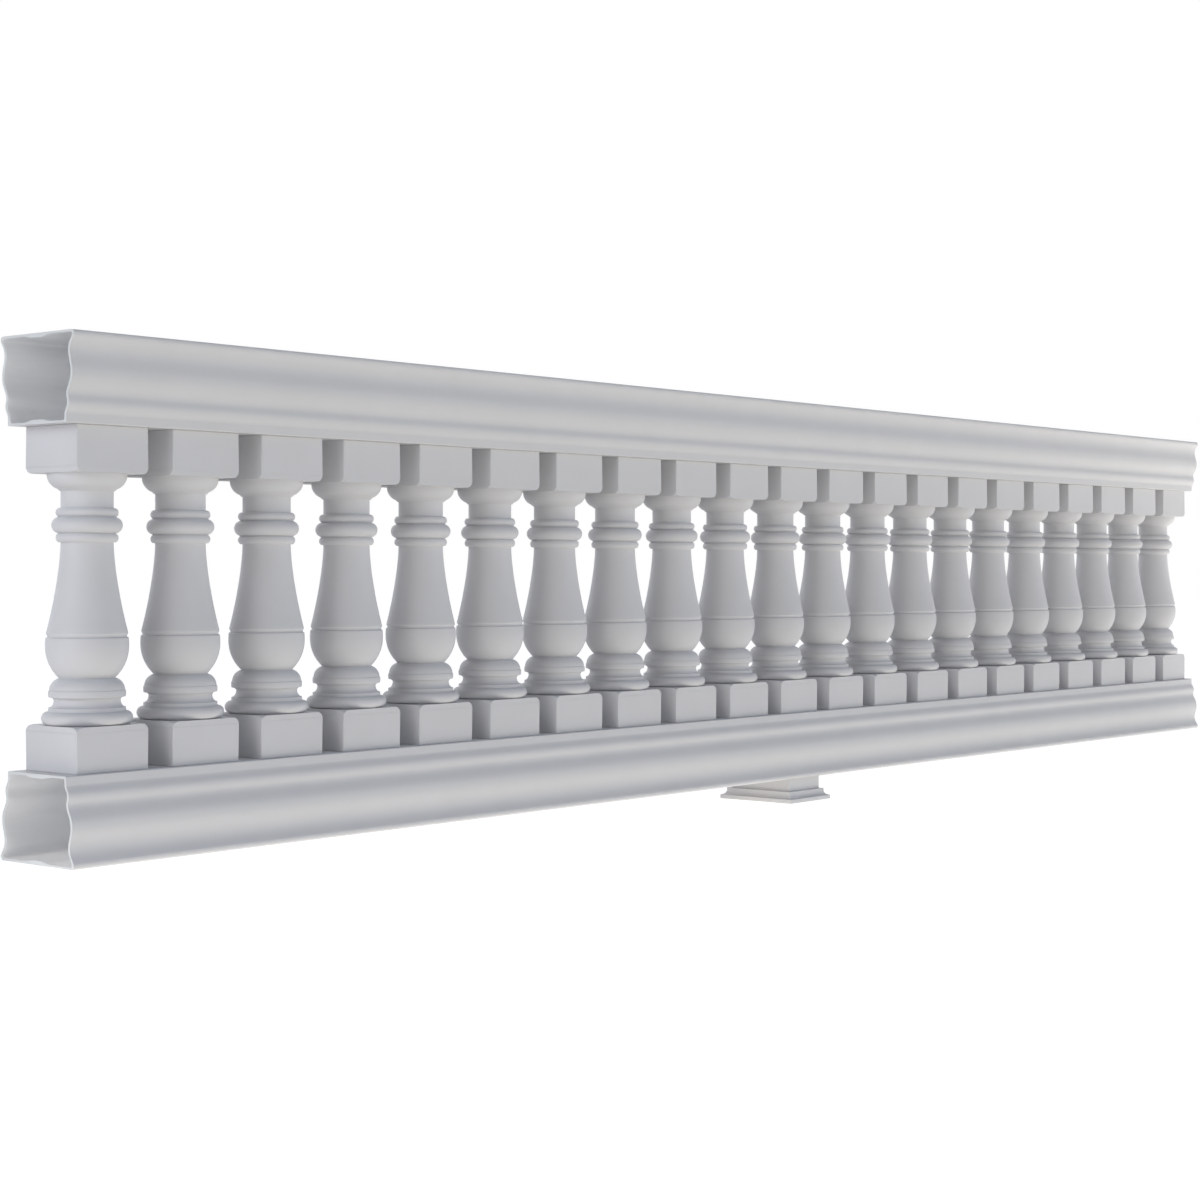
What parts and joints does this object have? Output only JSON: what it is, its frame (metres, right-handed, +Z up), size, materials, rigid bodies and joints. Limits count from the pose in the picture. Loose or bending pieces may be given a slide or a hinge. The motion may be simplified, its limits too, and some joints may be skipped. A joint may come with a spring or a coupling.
{
  "type": "fiberglass balustrade section",
  "caption": "Straight balustrade section with hollow moulded top and bottom rails, a row of turned balusters on square plinths, and a square trimmed foot at mid-span.",
  "frame": {"origin": "centre of the foot's underside, below the middle of the section", "axes": "+X along the rails, +Y across them, +Z up"},
  "size_m": [3.6576, 0.1868, 0.8396],
  "materials": {
    "primed_fiberglass": "satin off-white primer on moulded fiberglass",
    "primed_foot": "satin off-white primer on a solid block and its moulded trim"
  },
  "bodies": {
    "root": {"top_rail": "primed_fiberglass", "bottom_rail": "primed_fiberglass", "baluster_01": "primed_fiberglass", "baluster_02": "primed_fiberglass", "baluster_03": "primed_fiberglass", "baluster_04": "primed_fiberglass", "baluster_05": "primed_fiberglass", "baluster_06": "primed_fiberglass", "baluster_07": "primed_fiberglass", "baluster_08": "primed_fiberglass", "baluster_09": "primed_fiberglass", "baluster_10": "primed_fiberglass", "baluster_11": "primed_fiberglass", "baluster_12": "primed_fiberglass", "baluster_13": "primed_fiberglass", "baluster_14": "primed_fiberglass", "baluster_15": "primed_fiberglass", "baluster_16": "primed_fiberglass", "baluster_17": "primed_fiberglass", "baluster_18": "primed_fiberglass", "baluster_19": "primed_fiberglass", "baluster_20": "primed_fiberglass", "baluster_21": "primed_fiberglass", "foot_block": "primed_foot", "foot_trim": "primed_foot"}
  },
  "joints": []
}
